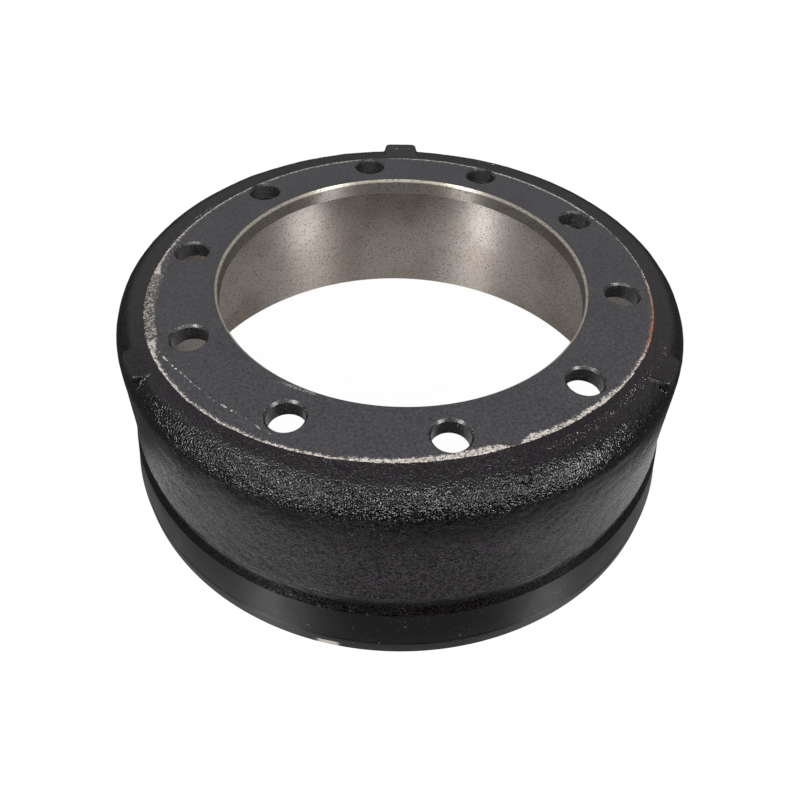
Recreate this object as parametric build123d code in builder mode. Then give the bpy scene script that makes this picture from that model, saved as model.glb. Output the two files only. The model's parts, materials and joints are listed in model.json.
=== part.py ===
from build123d import *

import os
from math import atan, degrees, radians, tan

# Cast-iron brake drum for a ten-stud truck or trailer hub.
#
# Units are millimetres. The origin is the centre of the open rim's plane, +Z points
# from the open rim to the closed end, and the drum stands on its open rim. Every
# outline point is (radius, height above the rim plane).

# Interfaces: brake shoes and wheel studs
brake_diameter = 410.0
height = 160.0
stud_circle_diameter = 335.0
stud_count = 10
stud_hole = 25.0
stud_angle = -8.0

# Flange: the machined disc between hub and wheel, open to the hub's spigot inside the studs
flange_thickness = 13.4
bore_land = 14.5
bore_chamfer = 1.5
stud_chamfer = 1.6
back_chamfer = 1.0
face_margin = 5.4

# Barrel: a drafted cast wall with a rounded shoulder and a flare towards the rim
shoulder_wall = 10.6
waist_wall = 13.6
flare_wall = 17.2
shoulder_fall = 10.9
shoulder_round = 22.0
waist_depth = 62.0
flare_length = 40.0
crease_depth = 0.7
crease_length = 12.5

# Rim band: a turned cone above a straight lip
band_top_wall = 20.4
band_bottom_wall = 25.4
lip_wall = 26.0
band_rise = 43.1
lip_rise = 13.5
lip_ramp = 1.5
rim_chamfer = 1.0

# Inside: run-out behind the friction surface, root bevel and lead-in
runout_relief = 1.5
runout_rise = 122.0
lead_in = 3.0
root_bevel = 14.0

# Cast driving lugs on the shoulder
lug_count = 3
lug_angle = 90.0
lug_width = 30.0
lug_length = 22.0
lug_setback = 3.1
lug_drop = 1.0
lug_depth = 17.0
lug_root = 5.0
lug_draft = 7.0
lug_corner = 5.0
lug_edge = 1.2

# Radii worked out from the driving sizes
brake_radius = brake_diameter / 2
stud_radius = stud_hole / 2
stud_circle_radius = stud_circle_diameter / 2
bore_radius = stud_circle_radius - stud_radius - bore_land
face_radius = stud_circle_radius + stud_radius + stud_chamfer + face_margin
relief_radius = brake_radius + runout_relief
flange_back = height - flange_thickness

# Barrel wall: its draft line carried up to meet the falling shoulder line
waist_radius = brake_radius + waist_wall
waist_height = height - waist_depth
draft = (waist_wall - shoulder_wall) / waist_depth
fall = tan(radians(shoulder_fall))
shoulder_radius = (brake_radius + shoulder_wall - draft * fall * face_radius) / (1 - draft * fall)
shoulder_height = height - fall * (shoulder_radius - face_radius)

# Flare: an arc that leaves the wall along its draft
flare_height = waist_height - flare_length
flare_radius = brake_radius + flare_wall

# Rim band, from the crease down to the lip
crease_height = flare_height - crease_length
band_top = (brake_radius + band_top_wall, band_rise)
band_bottom = (brake_radius + band_bottom_wall, lip_rise)
lip_radius = brake_radius + lip_wall

# Driving lugs: level tops just under the machined face, drafted ends sunk into the wall
lug_end = shoulder_radius - lug_setback
lug_top = height - lug_drop
lug_foot = lug_end + lug_depth * tan(radians(lug_draft))

# Shoulder fillet and root bevel, limited by the faces they run out on
shoulder_turn = tan(radians((90 - shoulder_fall - degrees(atan(draft))) / 2))
shoulder_fillet = min(shoulder_round, 0.9 * (shoulder_radius - face_radius) / shoulder_turn)
root = min(root_bevel, 0.45 * (relief_radius - bore_radius))

# One driving lug, drawn in the plane of its radius and carried to both sides
with BuildPart() as lug:
    with BuildSketch(Plane.XZ):
        with BuildLine():
            Polyline(
                (lug_end - lug_length, lug_top - lug_root),
                (lug_foot, lug_top - lug_depth),
                (lug_end, lug_top),
                (lug_end - lug_length, lug_top),
                close=True,
            )
        make_face()
    extrude(amount=lug_width / 2, both=True)
    end_face = lug.faces().sort_by(Axis.X)[-1]
    fillet(end_face.edges().filter_by(Axis.Y, reverse=True), radius=lug_corner)
    rim = lug.faces().sort_by(Axis.Z)[-1].edges().sort_by(Axis.X)[1:]
    chamfer(rim, length=lug_edge)

# Revolved body: machined bore and face, cast barrel, turned band, friction surface
with BuildPart() as brake_drum:
    with BuildSketch(Plane.XZ) as section:
        with BuildLine():
            Polyline(
                (brake_radius, lead_in),
                (brake_radius, runout_rise),
                (relief_radius, runout_rise + runout_relief),
                (relief_radius, flange_back - root),
                (relief_radius - root, flange_back),
                (bore_radius + back_chamfer, flange_back),
                (bore_radius, flange_back + back_chamfer),
                (bore_radius, height - bore_chamfer),
                (bore_radius + bore_chamfer, height),
                (face_radius, height),
                (shoulder_radius, shoulder_height),
                (waist_radius, waist_height),
            )
            flare = TangentArc(
                (waist_radius, waist_height),
                (flare_radius, flare_height),
                tangent=(draft, -1),
            )
            Polyline(
                flare @ 1,
                (flare_radius - crease_depth, crease_height),
                band_top,
                band_bottom,
                (lip_radius, lip_rise - lip_ramp),
                (lip_radius, rim_chamfer),
                (lip_radius - rim_chamfer, 0),
                (brake_radius + lead_in, 0),
                (brake_radius, lead_in),
            )
        make_face()
        shoulder = section.vertices().sort_by_distance((shoulder_radius, shoulder_height, 0))[0]
        fillet(shoulder, radius=shoulder_fillet)
    revolve(axis=Axis.Z)

    # Driving lugs, joined to the shoulder
    with PolarLocations(0, lug_count, start_angle=lug_angle):
        add(lug.part)

    # Stud holes, chamfered on both faces of the flange
    with Locations(Plane.XY.offset(height)):
        with PolarLocations(stud_circle_radius, stud_count, start_angle=stud_angle):
            CounterSinkHole(
                radius=stud_radius,
                counter_sink_radius=stud_radius + stud_chamfer,
                depth=2 * flange_thickness,
                counter_sink_angle=90,
            )
    with Locations(Plane.XY.offset(flange_back) * Rotation(180, 0, 0)):
        with PolarLocations(stud_circle_radius, stud_count, start_angle=-stud_angle):
            CounterSinkHole(
                radius=stud_radius,
                counter_sink_radius=stud_radius + back_chamfer,
                depth=flange_thickness / 2,
                counter_sink_angle=90,
            )

brake_drum.part.label = "brake_drum"
os.makedirs("parts", exist_ok=True)
export_step(brake_drum.part, "parts/brake_drum.step")
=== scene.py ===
"""Visual model of a cast-iron brake drum: one casting, its finishes and a plain studio."""

import json
import logging
import math
from collections.abc import Mapping, Sequence
from dataclasses import dataclass, field
from enum import Enum, IntEnum
from typing import Any, NamedTuple

import bmesh
import bpy
import numpy as np
from mathutils import Matrix, Vector, noise


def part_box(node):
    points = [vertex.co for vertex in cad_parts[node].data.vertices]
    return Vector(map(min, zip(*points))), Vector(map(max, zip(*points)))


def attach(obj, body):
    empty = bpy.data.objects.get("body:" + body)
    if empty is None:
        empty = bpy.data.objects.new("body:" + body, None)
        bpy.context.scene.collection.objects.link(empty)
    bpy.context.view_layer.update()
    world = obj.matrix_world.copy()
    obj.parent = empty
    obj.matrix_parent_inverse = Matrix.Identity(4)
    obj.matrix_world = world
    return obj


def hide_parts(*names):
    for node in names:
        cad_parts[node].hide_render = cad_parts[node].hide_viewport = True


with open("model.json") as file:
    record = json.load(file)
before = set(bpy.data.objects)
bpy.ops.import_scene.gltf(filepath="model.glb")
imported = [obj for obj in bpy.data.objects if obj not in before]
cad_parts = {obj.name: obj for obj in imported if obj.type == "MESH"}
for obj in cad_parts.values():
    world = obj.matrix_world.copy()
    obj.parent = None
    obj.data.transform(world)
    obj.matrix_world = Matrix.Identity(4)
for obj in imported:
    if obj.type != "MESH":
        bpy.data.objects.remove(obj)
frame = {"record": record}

log = logging.getLogger("drum")

NODE = "brake_drum"
MM_PER_METRE = 1000.0
FULL_TURN = 360.0
TINY = 1e-6

# Draft of the cast wall in degrees, and depth in mm at which the lugs run out on the shoulder.
WALL_DRAFT = 2.77
LUG_DEPTH = 14.0

Colour = tuple[float, float, float, float]
# Two values between which something goes over into something else.
Band = tuple[float, float]
# Points by radius and depth in mm, with depths negative below the machined face.
Section = tuple[tuple[float, float], ...]
# Values by azimuth in degrees, with the azimuths rising.
Sweep = tuple[tuple[float, float], ...]


def srgb(red: float, green: float, blue: float) -> Colour:
    """Turns a display colour into the linear one a shader takes.

    Args:
        red: Red, 0 to 255.
        green: Green, 0 to 255.
        blue: Blue, 0 to 255.

    Returns:
        The linear colour with full alpha.
    """
    parts = (part / 255 for part in (red, green, blue))
    linear = (part / 12.92 if part <= 0.04045 else ((part + 0.055) / 1.055) ** 2.4 for part in parts)
    return (*linear, 1.0)


def grey(level: float) -> Colour:
    """Gives a linear grey."""
    return (level, level, level, 1.0)


def smoothstep(low: float, high: float, value: np.ndarray) -> np.ndarray:
    """Rises smoothly from 0 at low to 1 at high."""
    t = np.clip((value - low) / (high - low), 0.0, 1.0)
    return t * t * (3 - 2 * t)


def linked(name: str, data: bpy.types.ID) -> bpy.types.Object:
    """Makes an object in the scene.

    Args:
        name: Its name.
        data: Its mesh, lamp or camera.

    Returns:
        The object.
    """
    made = bpy.data.objects.new(name, data)
    bpy.context.scene.collection.objects.link(made)
    return made


class Finish(IntEnum):
    """The finishes of the casting, in the order of its material slots."""

    CAST_PAINT = 0
    TURNED_PAINT = 1
    BARE_IRON = 2
    HOLE_PAINT = 3


@dataclass(frozen=True)
class Sizes:
    """The drum's mounting sizes in mm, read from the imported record.

    Attributes:
        height: Height over the machined face.
        bore: Radius of the spigot bore.
        friction: Radius of the friction surface.
        stud_circle: Radius of the circle through the studs.
        stud: Radius of a stud hole.
        studs: Number of stud holes.
        flange_back: Depth of the flange's back below the machined face.
    """

    height: float
    bore: float
    friction: float
    stud_circle: float
    stud: float
    studs: int
    flange_back: float

    @classmethod
    def from_record(cls, record: Mapping[str, Any]) -> "Sizes":
        """Reads the sizes from the record's mounts.

        Args:
            record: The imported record.

        Returns:
            The sizes.
        """
        mounts = {mount["name"]: mount for mount in record["mounts"]}
        height = MM_PER_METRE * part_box(NODE)[1].z
        pattern = mounts["stud_holes"]["dims"]
        return cls(
            height=height,
            bore=mounts["spigot_bore"]["dims"]["r_mm"],
            friction=mounts["friction_surface"]["dims"]["r_mm"],
            stud_circle=pattern["pcd_mm"] / 2,
            stud=pattern["hole_r_mm"],
            studs=pattern["count"],
            flange_back=height - MM_PER_METRE * mounts["hub_face"]["pos_m"][2],
        )


@dataclass(frozen=True)
class FaceEdge:
    """Outer edge of the machined face, which wanders because the casting runs out under the tool.

    Attributes:
        mean: Mean radius in mm.
        waves: Cosine and sine parts in mm of the first, second and third wave around the drum.
    """

    mean: float = 185.7
    waves: tuple[tuple[float, float], ...] = ((-1.33, -4.75), (2.41, 1.69), (1.16, -2.03))

    def radius(self, azimuth: np.ndarray) -> np.ndarray:
        """Gives the edge's radius.

        Args:
            azimuth: Azimuths in radians.

        Returns:
            The radii in mm.
        """
        total = np.full_like(azimuth, self.mean)
        for order, (cosine, sine) in enumerate(self.waves, start=1):
            total += cosine * np.cos(order * azimuth) + sine * np.sin(order * azimuth)
        return total

    def shaded(self, cosine: "Value", sine: "Value") -> "Value":
        """Gives the same radius in a shader, from the cosine and sine of the azimuth.

        Args:
            cosine: Cosine of the azimuth.
            sine: Sine of the azimuth.

        Returns:
            The radius in mm.
        """
        total = self.waves[0][0] * cosine + self.waves[0][1] * sine + self.mean
        wave_cos, wave_sin = cosine, sine
        for part_cos, part_sin in self.waves[1:]:
            wave_cos, wave_sin = wave_cos * cosine - wave_sin * sine, wave_sin * cosine + wave_cos * sine
            total = total + part_cos * wave_cos + part_sin * wave_sin
        return total


@dataclass
class Skin:
    """A closed mesh gathered ring by ring, in mm, with the machined face at height 0.

    Attributes:
        points: Arrays of points.
        quads: Arrays of four point numbers a face.
        finishes: The finish of each array of faces.
        creases: Arrays of point pairs whose edges are sharp.
        count: Number of points so far.
    """

    points: list[np.ndarray] = field(default_factory=list)
    quads: list[np.ndarray] = field(default_factory=list)
    finishes: list[Finish] = field(default_factory=list)
    creases: list[np.ndarray] = field(default_factory=list)
    count: int = 0

    def add(self, points: np.ndarray) -> np.ndarray:
        """Adds points.

        Args:
            points: One point a row.

        Returns:
            Their numbers.
        """
        self.points.append(points)
        numbers = np.arange(self.count, self.count + len(points))
        self.count += len(points)
        return numbers

    def crease(self, *rings: np.ndarray) -> None:
        """Marks closed rings of points as sharp edges."""
        self.creases += [np.column_stack([ring, np.roll(ring, -1)]) for ring in rings]

    def bridge(self, first: np.ndarray, second: np.ndarray, finish: Finish) -> None:
        """Joins two closed rings of as many points by a band of faces."""
        self.quads.append(np.column_stack([first, second, np.roll(second, -1), np.roll(first, -1)]))
        self.finishes.append(finish)

    def strip(self, rings: Sequence[np.ndarray], finish: Finish) -> None:
        """Joins each ring to the next."""
        for first, second in zip(rings[:-1], rings[1:]):
            self.bridge(first, second, finish)

    def build(self, name: str, height: float) -> bpy.types.Object:
        """Makes the object, with its origin at the centre of the open rim.

        Args:
            name: The object's name.
            height: Height of the machined face in mm.

        Returns:
            The object, without materials.
        """
        points = (np.concatenate(self.points) + (0, 0, height)) / MM_PER_METRE
        quads = np.concatenate(self.quads)
        slots = np.repeat([int(f) for f in self.finishes], [len(q) for q in self.quads])
        mesh = bpy.data.meshes.new(name)
        mesh.from_pydata(points.tolist(), [], quads.tolist())
        mesh.polygons.foreach_set("material_index", slots.astype(np.int32))
        edges = np.empty(2 * len(mesh.edges), np.int64)
        mesh.edges.foreach_get("vertices", edges)
        keys = np.sort(edges.reshape(-1, 2), axis=1) @ (self.count, 1)
        sharp = np.sort(np.concatenate(self.creases), axis=1) @ (self.count, 1)
        flags = mesh.attributes.new("sharp_edge", "BOOLEAN", "EDGE")
        flags.data.foreach_set("value", np.isin(keys, sharp))
        shape = bmesh.new()
        shape.from_mesh(mesh)
        bmesh.ops.recalc_face_normals(shape, faces=shape.faces)
        shape.to_mesh(mesh)
        shape.free()
        mesh.validate()
        return linked(name, mesh)


@dataclass(frozen=True)
class Lugs:
    """The three driving lugs cast on the shoulder.

    Attributes:
        azimuths: Azimuth of each lug in degrees.
        half_width: Half the width across the sides, in mm.
        end: Radius of the outer end.
        drop: Depth of the level top below the machined face.
        run_in: Length of the slope from the machined face down to the level top.
        corner: Plan radius of the outer corners.
        edge: Radius of the edge round the top.
        edge_turn: Elevations of that edge's first and last normals, in degrees.
        foot: Radius and depth where the end runs out on the shoulder.
        blend: Half the width in mm over which a side goes over into the shoulder.
        counts: Points on the slope, the level top, its edge and the outer end.
        beside: Angles of the added mesh columns at a lug's sides, in degrees.
        reach: Mesh columns are parallel within the first angle and radial beyond the second, in degrees.
        fade: The same in mm below the machined face, parallel above the first and radial below the second.
        pitch_radius: Radius at which the columns keep their angular pitch.
    """

    azimuths: tuple[float, ...] = (90.0, 210.0, 330.0)
    half_width: float = 15.0
    end: float = 212.8
    drop: float = 1.0
    run_in: float = 5.2
    corner: float = 5.0
    edge: float = 2.0
    edge_turn: Band = (90.0, 7.0)
    foot: tuple[float, float] = (214.1, -LUG_DEPTH)
    blend: float = 1.2
    counts: tuple[int, int, int, int] = (5, 10, 5, 8)
    beside: tuple[float, ...] = (3.75, 4.25, 4.75)
    reach: Band = (5.0, 8.0)
    fade: Band = (20.0, 50.0)
    pitch_radius: float = 205.0

    def offsets(self, degrees: np.ndarray) -> np.ndarray:
        """Measures each azimuth from its nearest lug.

        Args:
            degrees: Azimuths in degrees.

        Returns:
            The signed angles in degrees.
        """
        half = FULL_TURN / 2
        gaps = np.array([(degrees - centre + half) % FULL_TURN - half for centre in self.azimuths])
        return np.take_along_axis(gaps, np.abs(gaps).argmin(axis=0)[None], axis=0)[0]

    def extra_columns(self) -> np.ndarray:
        """Gives azimuths, in degrees, of the added columns beside the lugs' sides."""
        sides = np.array([*self.beside, *(-angle for angle in self.beside)])
        return np.concatenate([centre + sides for centre in self.azimuths])

    def warped(self, degrees: np.ndarray, radius: np.ndarray, fade: float) -> np.ndarray:
        """Turns the columns near a lug parallel to its sides.

        Args:
            degrees: Azimuths of the columns in degrees.
            radius: Radius of the row in mm at each column.
            fade: How much of the turn is applied, 0 to 1.

        Returns:
            The azimuths in degrees.
        """
        gap = self.offsets(degrees)
        across = self.pitch_radius * np.radians(gap)
        parallel = np.degrees(np.arcsin(np.clip(across / radius, -1, 1)))
        weight = fade * (1 - smoothstep(*self.reach, np.abs(gap)))
        return degrees + weight * (parallel - gap)

    def weight(self, across: np.ndarray) -> np.ndarray:
        """Gives the share of the lug's own shape by the distance from its centre line, 0 to 1."""
        return 1 - smoothstep(self.half_width - self.blend, self.half_width + self.blend, across)

    def section(self, start: float, across: float) -> np.ndarray:
        """Draws the line over the lug from the machined face to the shoulder.

        Args:
            start: Radius of the machined face's edge.
            across: Distance from the lug's centre line in mm.

        Returns:
            Points of radius and depth, as many as the shoulder has there.
        """
        on_slope, on_top, on_edge, on_end = self.counts
        over = min(max(across - (self.half_width - self.corner), 0.0), self.corner)
        end = self.end - (self.corner - math.sqrt(self.corner**2 - over**2))
        top, tip = -self.drop, end - self.edge
        slope = np.linspace((start, 0.0), (start + self.run_in, top), on_slope)
        level = np.linspace((start + self.run_in, top), (tip, top), on_top)
        turn = np.radians(np.linspace(*self.edge_turn, on_edge))
        edge = np.column_stack([tip + self.edge * np.cos(turn), top - self.edge + self.edge * np.sin(turn)])
        wall = np.linspace(edge[-1], self.foot, on_end)
        return np.concatenate([slope[:-1], level[:-1], edge[:-1], wall])


@dataclass(frozen=True)
class Shoulder:
    """The cast shoulder: a falling line from the machined face into a large round.

    Attributes:
        corner: Radius and depth where the falling line and the wall's draft line would meet.
        radius: Radius of the round.
        fall: Angle of the falling line below the horizontal, in degrees.
        draft: Angle of the wall off the vertical, in degrees.
        foot_depth: Depth down to which the lugs reach.
        settle: Share of the round within which it meets the wandering edge of the face.
        counts: Steps along the falling line, down the round to the lugs' foot, and on to the wall.
    """

    corner: tuple[float, float] = (215.87, -5.56)
    radius: float = 22.0
    fall: float = 10.9
    draft: float = WALL_DRAFT
    foot_depth: float = LUG_DEPTH
    settle: float = 0.8
    counts: tuple[int, int, int] = (8, 16, 5)

    def centre(self) -> tuple[float, float]:
        """Finds the round's centre.

        Returns:
            Its radius and depth.
        """
        reach = self.radius * math.tan(math.radians((90 - self.fall - self.draft) / 2))
        fall = math.radians(self.fall)
        start = (self.corner[0] - reach * math.cos(fall), self.corner[1] + reach * math.sin(fall))
        return start[0] - self.radius * math.sin(fall), start[1] - self.radius * math.cos(fall)

    def arc(self, first: float, last: float, steps: int) -> np.ndarray:
        """Samples the round between two elevations of its normal in degrees, as radius and depth."""
        turn = np.radians(np.linspace(first, last, steps + 1))
        return self.centre() + self.radius * np.column_stack([np.cos(turn), np.sin(turn)])

    def foot_turn(self) -> float:
        """Gives the elevation, in degrees, of the round's normal where the lugs end."""
        return math.degrees(math.asin((-self.foot_depth - self.centre()[1]) / self.radius))

    def upper(self, start: float) -> np.ndarray:
        """Draws the line from the machined face down to the lugs' foot.

        Args:
            start: Radius of the machined face's edge.

        Returns:
            Points of radius and depth.
        """
        on_fall, on_round, _ = self.counts
        arc = self.arc(90 - self.fall, self.foot_turn(), on_round)
        lift = math.tan(math.radians(self.fall)) * (start - self.corner[0]) - self.corner[1]
        fade = 1 - smoothstep(0.0, self.settle, np.linspace(0, 1, len(arc)))
        arc[:, 1] += lift * fade
        return np.concatenate([np.linspace((start, 0.0), arc[0], on_fall + 1)[:-1], arc])

    def lower(self) -> np.ndarray:
        """Draws the rest of the round, without its first point."""
        return self.arc(self.foot_turn(), self.draft, self.counts[2])[1:]


@dataclass(frozen=True)
class Barrel:
    """The cast wall below the shoulder, and the turned band and lip at the open end.

    Attributes:
        waist: Radius and depth where the flare starts.
        flare: Radius and depth where the flare ends.
        draft: Angle of the wall off the vertical, in degrees.
        undercut: How far in and down from the flare's end its last point and the crease's first lie.
        crease: Radius and depth at the foot of the dark crease.
        band: Corners of the turned band, lip and rim, down to the foot of the friction surface.
        lead_in: Width of the chamfer inside the rim.
        runout: Depths of the friction surface's end and of the relief's start.
        relief: How far the relief is cut behind the friction surface.
        root: Radius of the fillet between the relief and the flange's back.
        counts: Steps down the wall, along the flare, down the crease, over the ledge and round the root.
    """

    waist: tuple[float, float] = (218.6, -62.0)
    flare: tuple[float, float] = (222.2, -102.0)
    draft: float = WALL_DRAFT
    undercut: tuple[tuple[float, float], ...] = ((0.35, 0.0), (0.55, 1.6), (0.65, 3.2))
    crease: tuple[float, float] = (221.5, -110.8)
    band: Section = ((225.4, -116.9), (230.4, -146.5), (231.0, -148.0), (231.0, -159.0), (230.0, -160.0))
    lead_in: float = 3.0
    runout: Band = (-38.0, -36.5)
    relief: float = 1.5
    root: float = 20.0
    counts: tuple[int, int, int, int, int] = (16, 16, 2, 4, 10)

    def wall(self, top: np.ndarray) -> np.ndarray:
        """Draws the wall, flare, crease and ledge below the shoulder.

        Args:
            top: The shoulder's last point.

        Returns:
            Points of radius and depth, without the first.
        """
        on_wall, on_flare, on_crease, on_ledge, _ = self.counts
        start, end = np.array(self.waist), np.array(self.flare)
        tuck, first, second = np.array(self.undercut)
        lead = math.radians(self.draft)
        ahead = np.array([math.sin(lead), -math.cos(lead)])
        side = np.array([math.cos(lead), math.sin(lead)])
        chord = end - start
        radius = chord @ chord / (2 * (chord @ side))
        turn = 2 * math.asin(np.linalg.norm(chord) / (2 * radius))
        steps = turn * np.linspace(0, 1, on_flare + 1)[1:, None]
        curve = start + radius * (np.sin(steps) * ahead + (1 - np.cos(steps)) * side)
        curve[-1] -= tuck
        under = [end - first, *np.linspace(end - second, self.crease, on_crease + 1)]
        ledge = np.linspace(self.crease, self.band[0], on_ledge + 1)[1:]
        return np.concatenate([np.linspace(top, start, on_wall + 1)[1:], curve, under, ledge])

    def turned(self, friction: float) -> list[tuple[np.ndarray, Finish]]:
        """Draws the turned runs from the band round the rim and up the inside.

        Args:
            friction: Radius of the friction surface.

        Returns:
            Runs of points of radius and depth, each with its finish. A run starts at the last one's end.
        """
        depth, relief = self.band[-1][1], friction + self.relief
        corners = [*self.band, (friction + self.lead_in, depth), (friction, depth + self.lead_in)]
        corners += [(friction, self.runout[0]), (relief, self.runout[1])]
        steps = (4, 1, 2, 1, 2, 1, 3, 1)
        finishes = [Finish.TURNED_PAINT] * 4 + [Finish.BARE_IRON] * 4
        return [
            (np.linspace(a, b, n + 1)[1:], finish)
            for a, b, n, finish in zip(corners[:-1], corners[1:], steps, finishes)
        ]

    def root_round(self, friction: float, flange_back: float) -> np.ndarray:
        """Draws the relief's end and the fillet under the flange.

        Args:
            friction: Radius of the friction surface.
            flange_back: Depth of the flange's back.

        Returns:
            Points of radius and depth.
        """
        turn = np.radians(np.linspace(0, 90, self.counts[4] + 1))
        middle = (friction + self.relief - self.root, -flange_back - self.root)
        return middle + self.root * np.column_stack([np.cos(turn), np.sin(turn)])


@dataclass(frozen=True)
class CastGrain:
    """Unevenness of the cast skin that is deep enough to be in the mesh.

    Attributes:
        swell: Wavelength and height of the sand's slow waves, in mm.
        lumps: Wavelength and height of the lumps, in mm.
        shift: Offset of the noise, which fixes the pattern.
        nub: Place of the one small nub on the shoulder.
        nub_size: The nub's radius and height.
        nub_top: Share of that radius within which it is level.
    """

    swell: tuple[float, float] = (26.0, 0.3)
    lumps: tuple[float, float] = (6.5, 0.16)
    shift: tuple[float, float, float] = (31.7, 12.3, 7.9)
    nub: tuple[float, float, float] = (71.1, -193.2, -5.1)
    nub_size: tuple[float, float] = (5.2, 2.2)
    nub_top: float = 0.3

    def heights(self, points: np.ndarray) -> np.ndarray:
        """Gives the skin's height over its mean.

        Args:
            points: One point a row, in mm.

        Returns:
            Heights in mm.
        """
        total = np.zeros(len(points))
        for length, height in (self.swell, self.lumps):
            places = (points / length + self.shift).tolist()
            total += height * np.array([noise.noise(place) for place in places])
        reach, height = self.nub_size
        away = np.linalg.norm(points - self.nub, axis=1)
        return total + height * (1 - smoothstep(self.nub_top * reach, reach, away))


@dataclass(frozen=True)
class Casting:
    """The drum as one closed mesh.

    Attributes:
        sizes: The mounting sizes.
        edge: Outer edge of the machined face.
        lugs: The driving lugs.
        shoulder: The cast shoulder.
        barrel: The wall, band and inside.
        grain: Unevenness of the cast skin.
        first_stud: Azimuth of the first stud hole in degrees.
        bore_chamfer: Size of the chamfer on the bore's front edge.
        stud_chamfer: Size of the chamfer on a stud hole's front edge.
        back_chamfer: Size of the chamfers on the flange's back.
        stud_margin: Least width of the face between a stud hole's chamfer and the face's edge.
        pitch: Angle between columns in degrees.
        across: Points across the flange between two stud holes.
        still: Rows at either end of the cast skin over which its unevenness grows.
        upward: Radius in mm that an upright normal counts for, when normals are turned outwards.
    """

    sizes: Sizes
    edge: FaceEdge = FaceEdge()
    lugs: Lugs = Lugs()
    shoulder: Shoulder = Shoulder()
    barrel: Barrel = Barrel()
    grain: CastGrain = CastGrain()
    first_stud: float = -8.0
    bore_chamfer: float = 1.5
    stud_chamfer: float = 1.6
    back_chamfer: float = 1.0
    stud_margin: float = 0.8
    pitch: float = 0.5
    across: int = 6
    still: int = 5
    upward: float = 9.0

    def columns(self) -> np.ndarray:
        """Spreads the mesh columns round the drum.

        Returns:
            Their azimuths in degrees, rising from the first sector's start.
        """
        start = self.first_stud - FULL_TURN / 2 / self.sizes.studs
        even = start + np.arange(0, FULL_TURN, self.pitch)
        extra = (self.lugs.extra_columns() - start) % FULL_TURN + start
        return np.sort(np.concatenate([even, extra]))

    def ring(self, degrees: np.ndarray, radius: float | np.ndarray, depth: float | np.ndarray) -> np.ndarray:
        """Places one ring of points, with one radius and depth for all azimuths or one for each."""
        turn = np.radians(degrees)
        return np.column_stack([radius * np.cos(turn), radius * np.sin(turn), np.full_like(turn, 1) * depth])

    def rings(self, skin: Skin, degrees: np.ndarray, profile: np.ndarray | Section) -> list[np.ndarray]:
        """Adds a ring of points for each radius and depth of a profile."""
        return [skin.add(self.ring(degrees, radius, depth)) for radius, depth in profile]

    def cast_rows(self, degrees: np.ndarray) -> np.ndarray:
        """Places the rows of the cast skin, from the machined face to the turned band.

        Args:
            degrees: Azimuths of the columns.

        Returns:
            Points by row and column.
        """
        starts = np.maximum(self.edge.radius(np.radians(degrees)), self.clearance())
        plain = np.array([self.shoulder.upper(start) for start in starts])
        across = self.lugs.pitch_radius * np.radians(np.abs(self.lugs.offsets(degrees)))
        over = np.array([self.lugs.section(start, gap) for start, gap in zip(starts, across)])
        share = self.lugs.weight(across)[:, None, None]
        upper = plain + share * (over - plain)
        lower = self.shoulder.lower()
        rest = np.concatenate([lower, self.barrel.wall(lower[-1])])
        below = np.broadcast_to(rest, (len(degrees), *rest.shape))
        lines = np.concatenate([upper, below], axis=1).swapaxes(0, 1)
        fades = 1 - smoothstep(*self.lugs.fade, -lines[:, 0, 1])
        return np.array([
            self.ring(self.lugs.warped(degrees, line[:, 0], fade), line[:, 0], line[:, 1])
            for line, fade in zip(lines, fades)
        ])

    def clearance(self) -> float:
        """Gives the least radius of the machined face's edge that clears the stud holes."""
        return self.sizes.stud_circle + self.sizes.stud + self.stud_chamfer + self.stud_margin

    def roughened(self, rows: np.ndarray) -> np.ndarray:
        """Moves the cast rows along their normals by the skin's unevenness.

        Args:
            rows: Points by row and column.

        Returns:
            The moved points.
        """
        around = np.roll(rows, -1, axis=1) - np.roll(rows, 1, axis=1)
        along = np.gradient(rows, axis=0)
        normal = np.cross(around, along)
        normal /= np.linalg.norm(normal, axis=2, keepdims=True)
        outward = (normal[..., :2] * rows[..., :2]).sum(axis=2, keepdims=True)
        normal *= np.sign(outward + self.upward * normal[..., 2:])
        heights = self.grain.heights(rows.reshape(-1, 3)).reshape(rows.shape[:2])
        number, last = np.arange(len(rows)), len(rows)
        fade = smoothstep(0, self.still, number) * (1 - smoothstep(last - self.still, last - 1, number))
        return rows + normal * (heights * fade[:, None])[..., None]

    def sectors(self, degrees: np.ndarray) -> list[np.ndarray]:
        """Splits the columns into one sector for each stud hole.

        Args:
            degrees: Azimuths of the columns.

        Returns:
            Column numbers of each sector, both its sides included.
        """
        size = FULL_TURN / self.sizes.studs
        starts = np.searchsorted(degrees, degrees[0] + size * np.arange(self.sizes.studs) - TINY)
        ends = np.append(starts[1:], len(degrees))
        return [np.arange(a, b + 1) % len(degrees) for a, b in zip(starts, ends)]

    def stud_centre(self, number: int) -> np.ndarray:
        """Gives a stud hole's centre on the machined face."""
        turn = math.radians(self.first_stud + number * FULL_TURN / self.sizes.studs)
        return np.array([math.cos(turn), math.sin(turn), 0]) * self.sizes.stud_circle

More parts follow.
